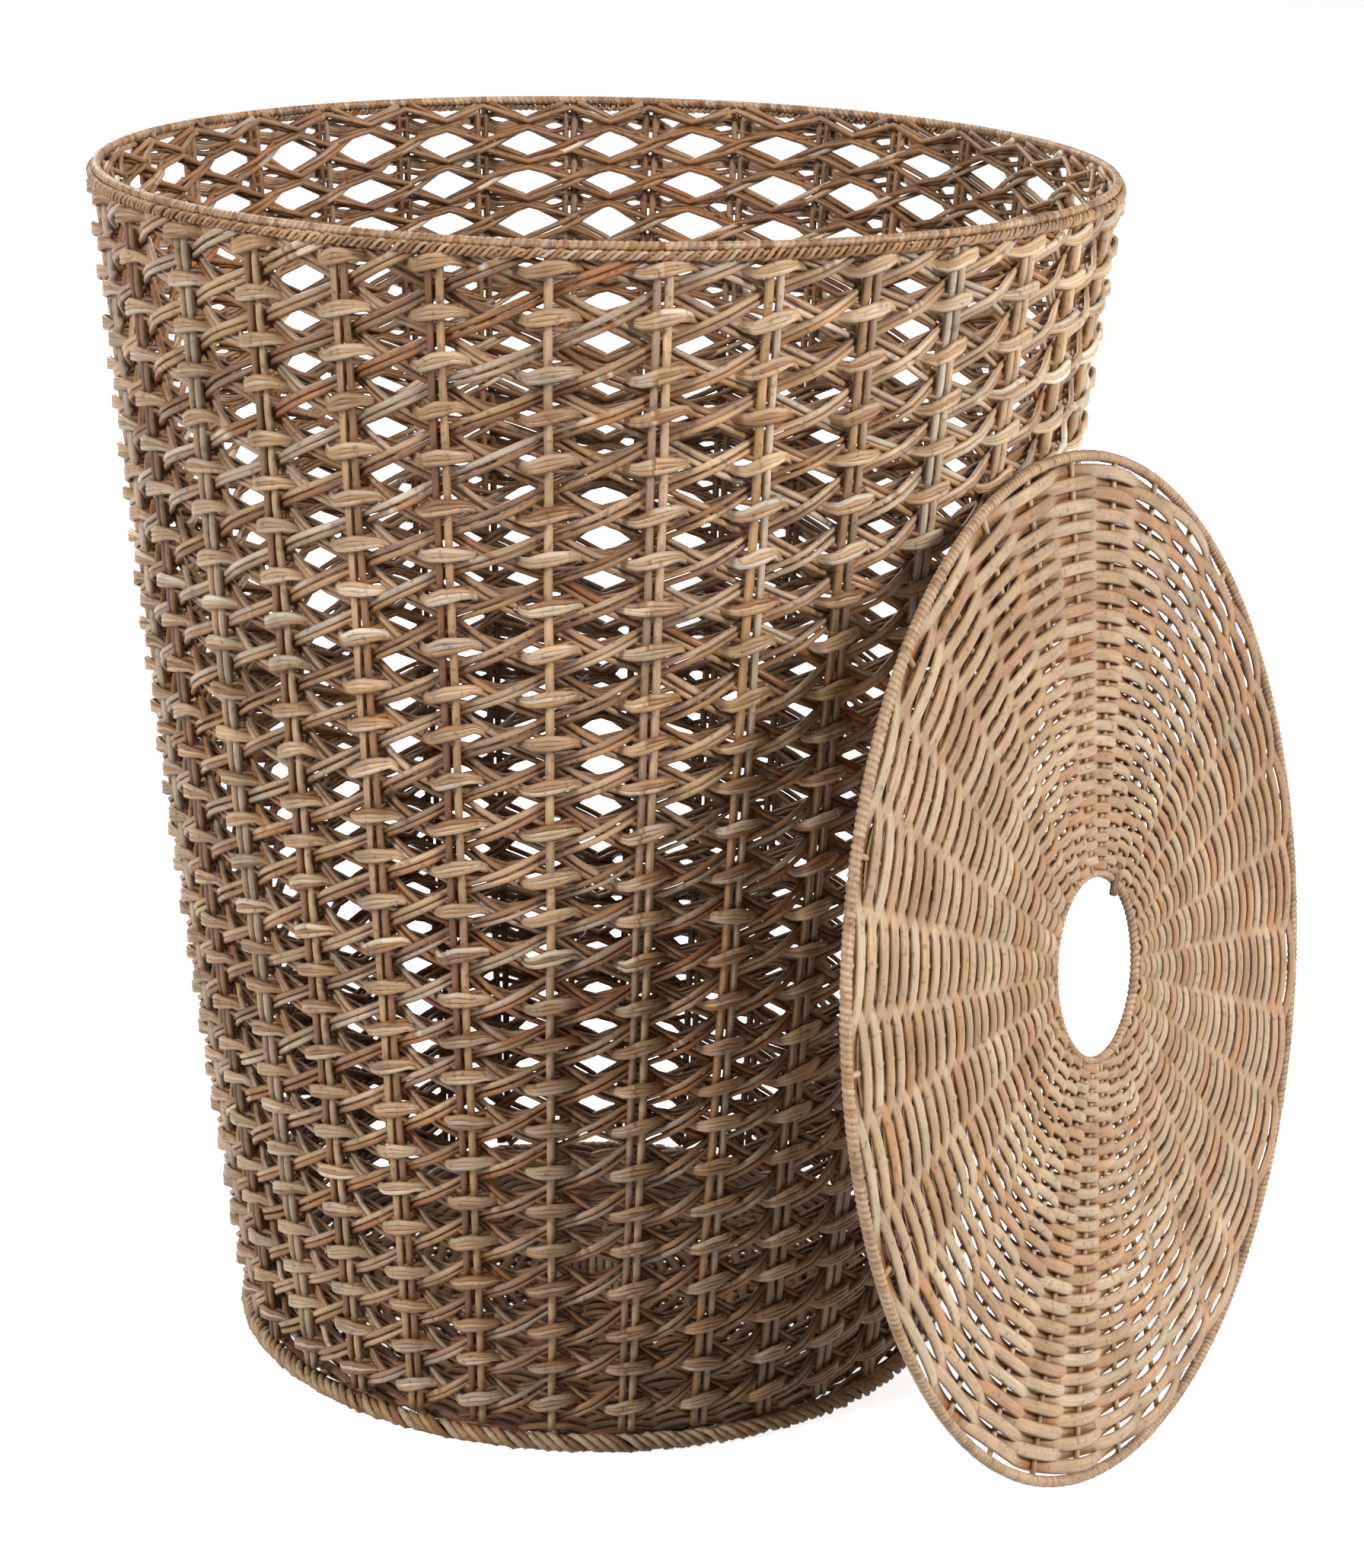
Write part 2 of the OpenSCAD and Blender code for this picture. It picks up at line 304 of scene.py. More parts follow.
def cane_material(name, palette, rough, streak=0.3, blotch=0.35, dark=PAINTED_SHADE):
    """Rattan: the tint picks a colour, with long fibres, blotches, dark specks, painted light and shade and
    a dull polish.
    """
    material = bpy.data.materials.new(name)
    material.use_nodes = True
    nodes = material.node_tree.nodes
    links = material.node_tree.links
    shader = nodes["Principled BSDF"]

    def attribute(layer_name):
        node = nodes.new("ShaderNodeAttribute")
        node.attribute_name = layer_name
        return node.outputs["Fac"]

    def ramp(source, colours):
        """Colours spread evenly over values of 0 to 1."""
        node = nodes.new("ShaderNodeValToRGB")
        stops = node.color_ramp.elements
        while len(stops) < len(colours):
            stops.new(0.5)
        for k, colour in enumerate(colours):
            stops[k].position = k / (len(colours) - 1)
            stops[k].color = colour
        links.new(source, node.inputs["Fac"])
        return node.outputs["Color"]

    def noise(vector, scale, detail):
        node = nodes.new("ShaderNodeTexNoise")
        node.inputs["Scale"].default_value = scale
        node.inputs["Detail"].default_value = detail
        links.new(vector, node.inputs["Vector"])
        return node.outputs["Fac"]

    def spread(source, low, high, out_low, out_high):
        """A value between low and high, brought to between out_low and out_high."""
        node = nodes.new("ShaderNodeMapRange")
        node.inputs["From Min"].default_value = low
        node.inputs["From Max"].default_value = high
        node.inputs["To Min"].default_value = out_low
        node.inputs["To Max"].default_value = out_high
        links.new(source, node.inputs["Value"])
        return node.outputs["Result"]

    def combine(kind, operation, a, b, second):
        """A maths node's output for a and b, with b in the input named second."""
        node = nodes.new(kind)
        node.operation = operation
        links.new(a, node.inputs[0])
        links.new(b, node.inputs[second])
        return node.outputs[0]

    cane_map = nodes.new("ShaderNodeUVMap")
    cane_map.uv_map = "cane"
    stretch = nodes.new("ShaderNodeMapping")
    stretch.inputs["Scale"].default_value = FIBRE_STRETCH
    links.new(cane_map.outputs["UV"], stretch.inputs["Vector"])
    place = nodes.new("ShaderNodeTexCoord").outputs["Object"]
    fibres = noise(stretch.outputs["Vector"], 1.0, GRAIN_DETAIL)
    patches = noise(place, BLOTCHES_PER_M, GRAIN_DETAIL)
    specks = noise(place, SPECKS_PER_M, SPECK_DETAIL)

    streaks = spread(fibres, NOISE_LOW, NOISE_HIGH, 1 - streak, 1 + streak * STREAK_LIGHTENS)
    blotches = spread(patches, NOISE_LOW, NOISE_HIGH, 1 - blotch, 1 + blotch * BLOTCH_LIGHTENS)
    spots = spread(specks, SPECK_LOW, SPECK_HIGH, SPECK_LIGHT, 1.0)
    light = combine("ShaderNodeMath", "MULTIPLY", streaks, blotches, 1)
    light = combine("ShaderNodeMath", "MULTIPLY", light, spots, 1)
    plain = ramp(attribute("tint"), [linear(*colour) for colour in palette])
    # painted light and painted shade: below 0 the attribute lightens the colour, above 0 it darkens and
    # warms it
    painted_shading = ramp(spread(attribute("stain"), -1, 1, 0, 1), (PAINTED_LIGHT, WHITE, dark))
    shaded_colour = combine("ShaderNodeVectorMath", "MULTIPLY", plain, painted_shading, 1)
    colour = combine("ShaderNodeVectorMath", "SCALE", shaded_colour, light, "Scale")
    links.new(colour, shader.inputs["Base Color"])

    dull = spread(fibres, NOISE_LOW, NOISE_HIGH, rough + DULLER, rough - GLOSSIER)
    links.new(dull, shader.inputs["Roughness"])
    raised = nodes.new("ShaderNodeBump")
    raised.inputs["Strength"].default_value = BUMP_STRENGTH
    raised.inputs["Distance"].default_value = BUMP_M
    links.new(fibres, raised.inputs["Height"])
    links.new(raised.outputs["Normal"], shader.inputs["Normal"])
    return material


PALE = (218, 196, 170)
TAN = (194, 161, 125)
GREY = (184, 163, 139)
FAWN = (164, 125, 84)
BROWN = (126, 82, 44)
UMBER = (90, 52, 24)
RUST = (152, 97, 52)
HONEY = (168, 138, 104)
STRAW = (182, 158, 126)
AMBER = (166, 120, 78)
BISCUIT = (176, 148, 114)
TOFFEE = (154, 114, 74)
CREAM = (180, 152, 118)
SAND = (170, 140, 106)
HAZEL = (148, 114, 78)
LID_COLOURS = (HONEY, STRAW, AMBER, BISCUIT, TOFFEE, CREAM)
LID_EDGE_COLOURS = (SAND, CREAM, HAZEL)

weaver_cane = cane_material("weaver_cane", (FAWN, TAN, GREY, FAWN, BROWN, TAN, FAWN, PALE), rough=0.48)
stake_cane = cane_material("stake_cane", (FAWN, TAN, BROWN, UMBER, FAWN, GREY, BROWN), rough=0.45)
lattice_cane = cane_material("lattice_cane", (FAWN, TAN, BROWN, GREY, FAWN, RUST, PALE, BROWN), rough=0.48)
hoop_cane = cane_material("hoop_cane", (BROWN, RUST, UMBER), rough=0.5)
rim_cane = cane_material("rim_cane", (FAWN, GREY, BROWN, TAN, FAWN, BROWN), rough=0.5)
foot_cane = cane_material("foot_cane", (FAWN, TAN, GREY, FAWN, TAN, BROWN), rough=0.58)
base_cane = cane_material("base_cane", (BROWN, FAWN, RUST, UMBER, FAWN), rough=0.5)
lid_cane = cane_material("lid_cane", LID_COLOURS, rough=0.46, streak=0.25, blotch=0.25, dark=LID_PAINTED_SHADE)
lid_edge_cane = cane_material("lid_edge_cane", LID_EDGE_COLOURS, rough=0.48, streak=0.22, blotch=0.25)

# The wall's form: a bulge at the left, and waves of the rows as height, waves around and lag from row to row
BELLY = 3.0
ROW_WAVES = ((0.6, 3, 1.7), (0.45, 7, -2.3))
CALM_BELOW_ROW = 0.5
CALM_ABOVE_ROW = ROWS + 0.6

# Painted light and shade on the wall's canes: painted shade inside its thickness and towards the floor,
# painted light at two sides
DEPTH_SHADE = 0.54
SHADE_FROM_DEPTH = 2.2
SHADE_FULL_DEPTH = 4.7
UNSHADED_FROM_DEPTH = 6.4
UNSHADED_FULL_DEPTH = 8.4
FLOOR_SHADE = 0.2
FLOOR_SHADE_H = 210.0
LIT_RIGHT_TURN = math.radians(-28)
LIT_FROM_Z = 150
LIT_FULL_Z = 290
LIT_LEFT_TURN = math.radians(-160)
LIT_LEFT = 0.4
LIT_EDGE = 0.35
LIT_FULL = 0.95
LIGHT_LIFTS_SHADE = 0.4


def wall_radius(turn, z):
    """Radius of the weave's outer face, with its bulge."""
    bulge = BELLY * np.sin(np.pi * np.clip(z / BASKET_H, 0, 1)) * np.clip(-np.cos(turn), 0, 1)
    return WALL_FOOT_R + WALL_SLOPE * z + bulge


def stake_turn(u):
    """Angle round the basket at stake number u, which may lie between stakes, in radians."""
    low = np.floor(u).astype(int)
    part = u - low
    turns, at = np.divmod(low, STAKES)
    turns_next, at_next = np.divmod(low + 1, STAKES)
    angle = (STAKE_TURNS[at] + 360 * turns) * (1 - part) + (STAKE_TURNS[at_next] + 360 * turns_next) * part
    return np.radians(angle)


def wall_points(u, w, depth):
    """Points at stake number u, row number w and a depth behind the weave's face, and their normals."""
    turn = stake_turn(u)
    around = 2 * np.pi * u / STAKES
    wave = sum(high * np.sin(waves * around + lag * w) for high, waves, lag in ROW_WAVES)
    waving = ease(w, CALM_BELOW_ROW, CALM_BELOW_ROW + 1) * (1 - ease(w, CALM_ABOVE_ROW - 1, CALM_ABOVE_ROW))
    z = FIRST_ROW_Z + (w - 1) * ROW_PITCH + wave * waving
    r = wall_radius(turn, z) - depth
    out = unit(np.stack([np.cos(turn), np.sin(turn), np.full(turn.shape, -WALL_SLOPE)], -1))
    return np.stack([r * np.cos(turn), r * np.sin(turn), z], -1), out


def wall_painted_shading(verts):
    """How much painted shade the wall's canes get, up to 1, or how much painted light, down to -1."""
    turn = np.arctan2(verts[:, 1], verts[:, 0])
    z = verts[:, 2]
    depth = wall_radius(turn, z) - np.hypot(verts[:, 0], verts[:, 1])
    # painted shade inside the weave, left off its inner face, and painted shade that grows towards the floor
    lining = ease(depth, UNSHADED_FROM_DEPTH, UNSHADED_FULL_DEPTH)
    inner = DEPTH_SHADE * ease(depth, SHADE_FROM_DEPTH, SHADE_FULL_DEPTH) * (1 - lining)
    painted_shading = np.maximum(inner, FLOOR_SHADE * (1 - ease(z, 0, FLOOR_SHADE_H)))
    # painted light at the upper right and at the left, which also lifts the painted shade there
    lit_right = ease(np.cos(turn - LIT_RIGHT_TURN), LIT_EDGE, LIT_FULL) * ease(z, LIT_FROM_Z, LIT_FULL_Z)
    lit_left = LIT_LEFT * ease(np.cos(turn - LIT_LEFT_TURN), LIT_EDGE, LIT_FULL)
    painted_lit = np.maximum(lit_right, lit_left)
    return painted_shading * (1 - LIGHT_LIFTS_SHADE * painted_lit) - painted_lit * (1 - painted_shading)


def bay_width(w):
    """Width between two stakes at row number w."""
    return 2 * np.pi * (WALL_FOOT_R + WALL_SLOPE * (FIRST_ROW_Z + (w - 1) * ROW_PITCH)) / STAKES


def wall_canes(name, lines, half_w, half_t, material, tint, **more):
    """Canes of the wall, each a pair of its points and normals."""
    paths = np.array([points for points, _ in lines])
    normals = np.array([out for _, out in lines])
    return sweep(name, paths, normals, half_w, half_t, material, tint, stain_at=wall_painted_shading, **more)


# Weaver rows, in millimetres: the leaf outside a stake, the web beside it and the web's edges
ROW_STEPS = 12
ROW_SIDES = 6
WEAVER_HALF_W = 0.9
WEAVER_HALF_T = 0.86
LEAF_CANES = (-1, 0, 1)
LEAF_CANE_GAP = 1.42
LEAF_CANE_STEP = 0.1
LEAF_NARROWING = 0.66
LEAF_REACH = 9.0
LEAF_REACH_VARIES = 0.6
LEAF_TILT = 0.24
LEAF_TILT_VARIES = 0.07
LEAF_SHIFT_VARIES = 0.4
LEAF_ARCH = 0.8
LEAF_TILTED_PART = 0.6
LEAF_LEVEL_PART = 1.1
LEAF_DEPTH = 1.3
LEAF_DIP = 5.4
LEAF_DIP_FROM = 2.2
LEAF_DIP_PAST = 2.0
WEB_DEPTH = 4.3
WEB_DIP = 3.7
WEB_DIP_FROM = 2.6
WEB_DIP_TO = 8.6
WEB_HEIGHT = 1.6
WEB_SWELL = 1.0
WEB_SWELL_TO = 5.0
WEB_CLOSING = 1.9
WEB_CLOSING_FROM = 0.35
WEB_FLUTTER = ((0.3, 2.1),)
EDGE_DEPTH = 7.4
EDGE_DIP = 2.4
EDGE_HEIGHT = 5.2
EDGE_CLOSING = 4.1
WEB_TINT = 0.5
WEB_TINT_SPREAD = 0.12


def make_row(row):
    """Weaver canes: a leaf of three outside each stake, and four that fan out into a web beside it."""
    u = np.arange(STAKES * ROW_STEPS) / ROW_STEPS
    near = np.round(u).astype(int) % STAKES
    from_stake = (u - np.round(u)) * bay_width(row)
    reach = np.abs(from_stake)
    across = reach / (bay_width(row) / 2)
    lines = []

    leaf = (LEAF_REACH + rng.normal(0, LEAF_REACH_VARIES, STAKES))[near]
    tilt = (LEAF_TILT + rng.normal(0, LEAF_TILT_VARIES, STAKES))[near]
    shift = rng.normal(0, LEAF_SHIFT_VARIES, STAKES)[near]
    outward = ease(reach, 0, leaf)
    tilted = 1 - ease(reach, LEAF_TILTED_PART * leaf, LEAF_LEVEL_PART * leaf)
    leaf_lift = (shift + tilt * from_stake) * tilted + LEAF_ARCH * (1 - outward)
    leaf_depth = LEAF_DEPTH + LEAF_DIP * ease(reach, LEAF_DIP_FROM, leaf + LEAF_DIP_PAST)
    for cane in LEAF_CANES:
        lift = cane * LEAF_CANE_GAP * (1 - LEAF_NARROWING * outward) + leaf_lift
        lines.append(wall_points(u, row + lift / ROW_PITCH, leaf_depth + LEAF_CANE_STEP * cane))

    web_lift = WEB_HEIGHT + WEB_SWELL * ease(reach, 0, WEB_SWELL_TO)
    web_lift = web_lift - WEB_CLOSING * ease(across, WEB_CLOSING_FROM, 1)
    web_depth = WEB_DEPTH + WEB_DIP * ease(reach, WEB_DIP_FROM, WEB_DIP_TO)
    edge_lift = EDGE_HEIGHT - EDGE_CLOSING * across
    edge_depth = EDGE_DEPTH + EDGE_DIP * across
    for side in (-1, 1):
        flutter = wobble(WEB_FLUTTER, u)
        for lift, depth in ((web_lift, web_depth), (edge_lift, edge_depth)):
            lines.append(wall_points(u, row + (side * lift + flutter) / ROW_PITCH, depth))

    tint = lengths_of_cane(len(lines), len(u), ROW_STEPS, least=2, most=7)
    web = slice(len(LEAF_CANES), None)
    tint[web] = WEB_TINT + WEB_TINT_SPREAD * tint[web]
    node = f"weave_row_{row:02d}"
    piece = wall_canes(
        "woven_" + node, lines, WEAVER_HALF_W, WEAVER_HALF_T, weaver_cane, tint, sides=ROW_SIDES, closed=True
    )
    in_basket(piece, "weaver_cane", node)


# Stakes, from and to row numbers, and otherwise in millimetres
STAKE_FROM_ROW = 0.36
STAKE_TO_ROW = ROWS + 0.4
STAKE_POINTS = 4 * ROWS + 1
STAKE_HALF = 1.2
STAKE_HALF_VARIES = 0.07
STAKE_APART = 1.58
STAKE_APART_VARIES = 0.12
STAKE_BENDS = ((0.12, 1.3), (0.1, 0.5))
STAKE_DEPTH = 3.95
STAKE_SWAY = 0.22
SINGLE_TINT = 0.17


def make_stakes(node, side):
    """Upright canes, the left or the right one of each pair; the single stake is with the left ones."""
    w = np.linspace(STAKE_FROM_ROW, STAKE_TO_ROW, STAKE_POINTS)
    depth = STAKE_DEPTH + STAKE_SWAY * np.cos(2 * np.pi * w)
    lines = []
    for k in range(STAKES):
        single = k == SINGLE_STAKE
        if single and side > 0:
            continue
        apart = 0.0 if single else side * (STAKE_APART + rng.normal(0, STAKE_APART_VARIES))
        bend = wobble(STAKE_BENDS, w)
        lines.append(wall_points(k + (apart + bend) / bay_width(w), w, depth))
    tint = np.repeat(rng.random((len(lines), 1)), len(w), 1)
    if side < 0:
        tint[SINGLE_STAKE] = SINGLE_TINT
    thick = STAKE_HALF + rng.normal(0, STAKE_HALF_VARIES, (len(lines), 1))
    in_basket(wall_canes("cane_" + node, lines, thick, thick, stake_cane, tint), "stake_cane", node)


# Diagonals, in row numbers and millimetres
DIAGONAL_FROM_ROW = 0.5
DIAGONAL_RISE = 26.92
DIAGONAL_STEPS = 6
DIAGONAL_SIDES = 6
DIAGONAL_HALF = 0.94
DIAGONAL_HALF_VARIES = 0.06
DIAGONAL_FLATNESS = 0.95
DIAGONAL_APART = 0.96
DIAGONAL_PARTING = ((0.14, 0.9),)
DIAGONAL_DRIFT = ((0.35, 0.7), (0.25, 1.9))
DIAGONAL_SWAY = 0.15


def make_diagonals(node, turn, at_stake, between):
    """Pairs of diagonal canes that climb a row in each bay, with depths at the stakes and between them."""
    t = np.linspace(0, DIAGONAL_RISE, int(DIAGONAL_RISE * DIAGONAL_STEPS) + 1)
    w = t + DIAGONAL_FROM_ROW
    bay = bay_width(w)
    slant = np.hypot(bay, ROW_PITCH)
    depth = (at_stake + between) / 2 + (at_stake - between) / 2 * np.cos(2 * np.pi * t)
    lines = []
    for k in range(STAKES):
        apart = DIAGONAL_APART + wobble(DIAGONAL_PARTING, t)
        drift = wobble(DIAGONAL_DRIFT, t)
        for side in (-1, 1):
            move = side * apart + drift
            u = k + turn * t - turn * move * ROW_PITCH / slant / bay
            rise = w + move * bay / slant / ROW_PITCH
            lines.append(wall_points(u, rise, depth + DIAGONAL_SWAY * side * np.sin(t + k)))
    tint = lengths_of_cane(len(lines), len(t), DIAGONAL_STEPS, least=4, most=12)
    thick = DIAGONAL_HALF + rng.normal(0, DIAGONAL_HALF_VARIES, (len(lines), 1))
    thin = thick * DIAGONAL_FLATNESS
    piece = wall_canes("cane_" + node, lines, thick, thin, lattice_cane, tint, sides=DIAGONAL_SIDES)
    in_basket(piece, "lattice_cane", node)


# Wound hoops: a strip's pitch in millimetres, its steps, and the form of its ridges and the painted shade in
# their grooves
STRIP_PITCH = 1.9
STRIP_STEPS = 6
STRIP_SIDES = 14
CREST_LEVEL = 0.75
CREST_VARIES = 0.25
GROOVE_SHADE = 0.9
GROOVE_START = 1.3
GROOVE_SLOPE = 1.5
HOOP_POINTS = 160
HOOP_TINT = 0.3


def circle(radius, z, count):
    """Points of a level circle and their outward normals, as one path."""
    a = 2 * np.pi * np.arange(count) / count
    path = np.stack([radius * np.cos(a), radius * np.sin(a), np.full(count, z)], -1)
    normals = np.stack([np.cos(a), np.sin(a), np.zeros(count)], -1)
    return path[None], normals[None]


def plain_ring(name, radius, z, half):
    """A bare hoop."""
    path, normals = circle(radius, z, HOOP_POINTS)
    return sweep(name, path, normals, half, half, hoop_cane, HOOP_TINT, closed=True)


def wound_ring(name, radius, z, half_w, half_t, ridge, slant, material):
    """A hoop wound with a strip: one rounded ridge for each turn of the strip."""
    turns = round(2 * np.pi * radius / STRIP_PITCH)
    count = turns * STRIP_STEPS
    path, normals = circle(radius, z, count)
    around = 2 * np.pi * np.arange(STRIP_SIDES) / STRIP_SIDES
    phase = np.pi * (np.arange(count) / STRIP_STEPS)[:, None] - slant * np.cos(around)
    crest = np.sqrt(np.abs(np.sin(phase)))
    varies = 1 + np.repeat(rng.normal(0, CREST_VARIES, turns), STRIP_STEPS)[:, None]
    swell = 1 + ridge * (crest - CREST_LEVEL) * varies
    tint = np.repeat(rng.random(turns), STRIP_STEPS)
    # painted shade in the grooves between the turns of the strip
    groove = GROOVE_SHADE * np.clip(GROOVE_START - GROOVE_SLOPE * crest, 0, 1)

    def stain_at(verts):
        return groove.ravel()

    return sweep(
        name, path, normals, half_w, half_t, material, tint, STRIP_SIDES, True, swell[None], stain_at
    )


# Ropes of canes: their steps in each turn, and waves in millimetres and in radians
ROPE_STEPS = 8
ROPE_SLACK = ((0.22, 9), (0.16, 23))
ROPE_LAY = ((0.3, 13),)


def make_rope(name, radius, z, strands, pitch, coil, tall, half, hand, material):
    """A border of canes laid round each other, right-handed for hand 1 or left-handed for -1.

    coil and tall are how far the strands swing across and up. What would reach below the floor is pressed
    flat.
    """
    turns = round(2 * np.pi * radius / pitch)
    count = turns * ROPE_STEPS
    a = 2 * np.pi * np.arange(count) / count
    paths = []
    normals = []
    for k in range(strands):
        slack = wobble(ROPE_SLACK, a)
        lay = turns * a + 2 * np.pi * k / strands + wobble(ROPE_LAY, a)
        r = radius + (coil + slack) * np.cos(lay)
        paths.append(np.stack([r * np.cos(a), r * np.sin(a), z + hand * (tall + slack) * np.sin(lay)], -1))
        normals.append(np.stack([np.cos(a) * np.cos(lay), np.sin(a) * np.cos(lay), hand * np.sin(lay)], -1))
    tint = lengths_of_cane(strands, count, ROPE_STEPS, least=3, most=9)
    piece = sweep(name, np.array(paths), np.array(normals), half, half, material, tint, closed=True)
    for v in piece.data.vertices:
        v.co.z = max(v.co.z, 0.0)
    return piece


# Flat woven faces: steps from spoke to spoke, waves as in the wall, and how square the canes' bends are
FLAT_STEPS = 8
FLAT_WAVES = ((0.18, 5, 1.9), (0.12, 11, 2.7))
SPOKE_POINTS = 24
BEND_POWER = 0.7
# where painted shade starts and where it is full, on a cane's face turned to the spokes
HIDDEN_FROM = -0.3
HIDDEN_FULL = 0.5


def make_spokes(name, spokes, r_in, r_out, z, half, material):
    """Straight canes from an inner to an outer radius."""
    r = np.linspace(r_in, r_out, SPOKE_POINTS)
    paths = []
    for k in range(spokes):
        a = 2 * np.pi * (k + 0.5) / spokes
        paths.append(np.stack([r * np.cos(a), r * np.sin(a), np.full(SPOKE_POINTS, z)], -1))
    tint = np.repeat(rng.random((spokes, 1)), SPOKE_POINTS, 1)
    return sweep_flat(name, paths, half, half, material, tint)


def woven_face(
    name, radii, spokes, mid_z, rise, half_w, half_t, material,
    pairs_inside=0.0, first=0, painted_shading=0.0, shaded_turn=0.0,
):
    """Rows woven over one spoke and under the next, each row the other way round from its neighbours.

    Rows inside the radius pairs_inside go over and under pairs of spokes. first is the number of rows inside
    these, and the last two arguments give the painted shade at the lid's edge and the side where it lies.
    """
    u = np.arange(spokes * FLAT_STEPS) / FLAT_STEPS
    a = 2 * np.pi * (u + 0.5) / spokes
    paths = []
    heights = []
    for row, radius in enumerate(radii, first):
        beat = 0.5 if radius < pairs_inside else 1.0
        swing = np.cos(np.pi * (u * beat + row % 2))
        height = np.sign(swing) * np.abs(swing) ** BEND_POWER * rise
        r = radius + sum(size * np.sin(waves * a + lag * row) for size, waves, lag in FLAT_WAVES)
        paths.append(np.stack([r * np.cos(a), r * np.sin(a), mid_z + height], -1))
        heights.append(height)
    tint = lengths_of_cane(len(radii), len(u), FLAT_STEPS, least=4, most=20)
    centre = np.repeat(np.array(heights).ravel(), SIDES)

    def stain_at(verts):
        """Painted shade where a cane turns its face to the spokes, and more painted shade towards one side.
        """
        inward = -np.sign(centre) * (verts[:, 2] - mid_z - centre) / half_t
        hidden = ease(np.abs(centre), 0, rise) * ease(inward, HIDDEN_FROM, HIDDEN_FULL)
        across = verts[:, 0] * math.cos(shaded_turn) + verts[:, 1] * math.sin(shaded_turn)
        return hidden + (1 - hidden) * painted_shading * across / LID_HOOP_R

    return sweep_flat(name, paths, half_w, half_t, material, tint, closed=True, stain_at=stain_at)


# Rim, border and foot, in millimetres
RIM_DROP = 1.42
RIM_Z = BASKET_H - RIM_DROP
BORDER_DROP = 3.6
BORDER_Z = BASKET_H - BORDER_DROP
BORDER_DEPTH = 2.1
BORDER_R = WALL_FOOT_R + WALL_SLOPE * BORDER_Z - BORDER_DEPTH


def make_rim_and_foot():
    """The rim's wound hoop, the fine border under it and the rolled foot."""
    in_basket(plain_ring("hoop_rim", RIM_R, RIM_Z, half=0.9), "hoop_cane", "rim_core")
    rim = wound_ring(
        "wound_rim", RIM_R, RIM_Z, half_w=1.26, half_t=1.26, ridge=0.26, slant=1.2, material=rim_cane
    )
    in_basket(rim, "binding_cane", "rim_binding")
    border = make_rope(
        "twined_border", BORDER_R, BORDER_Z,
        strands=3, pitch=6.0, coil=0.6, tall=1.0, half=0.56, hand=1, material=rim_cane,
    )
    in_basket(border, "binding_cane")
    foot = make_rope(
        "rolled_foot", FOOT_R, FOOT_Z,
        strands=4, pitch=14.0, coil=1.75, tall=1.75, half=1.15, hand=-1, material=foot_cane,
    )
    in_basket(foot, "foot_cane", "foot_border")


# The base, in millimetres
BASE_ROW_START = 1.4
BASE_ROW_PITCH = 2.5
BASE_PAIRS_R = 45.0
BASE_SPOKE_GAP = 0.3
STICK_HALF = 1.2
STICK_PITCH = 2.65
STICK_POINTS = 12
STICK_LAYER = 1.25


def make_hub(name, z, across):
    """One layer of the crossed sticks in the middle of the base."""
    most = int((BASE_HUB_R - STICK_HALF) / STICK_PITCH)
    paths = []
    for k in range(-most, most + 1):
        y = k * STICK_PITCH
        reach = math.sqrt(BASE_HUB_R ** 2 - (abs(y) + STICK_HALF) ** 2)
        x = np.linspace(-reach, reach, STICK_POINTS)
        line = np.stack([x, np.full(STICK_POINTS, y), np.full(STICK_POINTS, z)], -1)
        paths.append(line[:, [1, 0, 2]] if across else line)
    tint = np.repeat(rng.random((len(paths), 1)), STICK_POINTS, 1)
    return sweep_flat(name, paths, STICK_HALF, STICK_HALF, stake_cane, tint)


def make_base():
    """The base's spokes, its woven face and its crossed sticks."""
    spokes = make_spokes(
        "cane_base_spokes", STAKES, BASE_HUB_R + BASE_SPOKE_GAP, BASE_OUT_R, BASE_Z, STICK_HALF, stake_cane
    )
    in_basket(spokes, "stake_cane", "base_spokes")
    radii = np.arange(BASE_HUB_R + BASE_ROW_START, BASE_OUT_R, BASE_ROW_PITCH)
    woven = woven_face(
        "woven_base", radii, STAKES, BASE_Z,
        rise=1.75, half_w=1.75, half_t=0.95, material=base_cane, pairs_inside=BASE_PAIRS_R,
    )
    in_basket(woven, "weaver_cane", "base_weave_under", "base_weave_top")
    in_basket(make_hub("sticks_lower", BASE_Z - STICK_LAYER, False), "stake_cane", "base_hub_lower")
    in_basket(make_hub("sticks_upper", BASE_Z + STICK_LAYER, True), "stake_cane", "base_hub_upper")


# The lid, flat and in millimetres, with its rows in each band from the hole outwards
LID_BAND_ROWS = (7, 6, 6, 6, 5, 5, 5, 5)
LID_BANDS = len(LID_BAND_ROWS)
LID_EDGE_REACH = 1.6
LID_RISE = 1.2
LID_RISE_GAIN = 0.3
LID_COVER = 0.76
LID_COVER_LOSS = 0.1
LID_ROW_HALF_T = 0.9
LID_SPOKE_HALF = 0.9
LID_SPOKE_HOLE_GAP = 1.1
LID_SPOKE_EDGE_GAP = 1.35
LID_SPOKE_IN = HOLE_HOOP_R + LID_SPOKE_HOLE_GAP
LID_SPOKE_OUT = LID_HOOP_R - LID_SPOKE_EDGE_GAP
# painted shade that grows towards the lid's top, and the side where it lies
LID_SIDE_SHADE = 0.22
LID_SHADED_TURN = math.radians(150)
STRAY_TURN = math.radians(142.5)
STRAY_END_R = 22.6
STRAY_LENGTH = 10
STRAY_POINTS = 10
STRAY_END_Z = 1.1
STRAY_ROOT_Z = 0.6


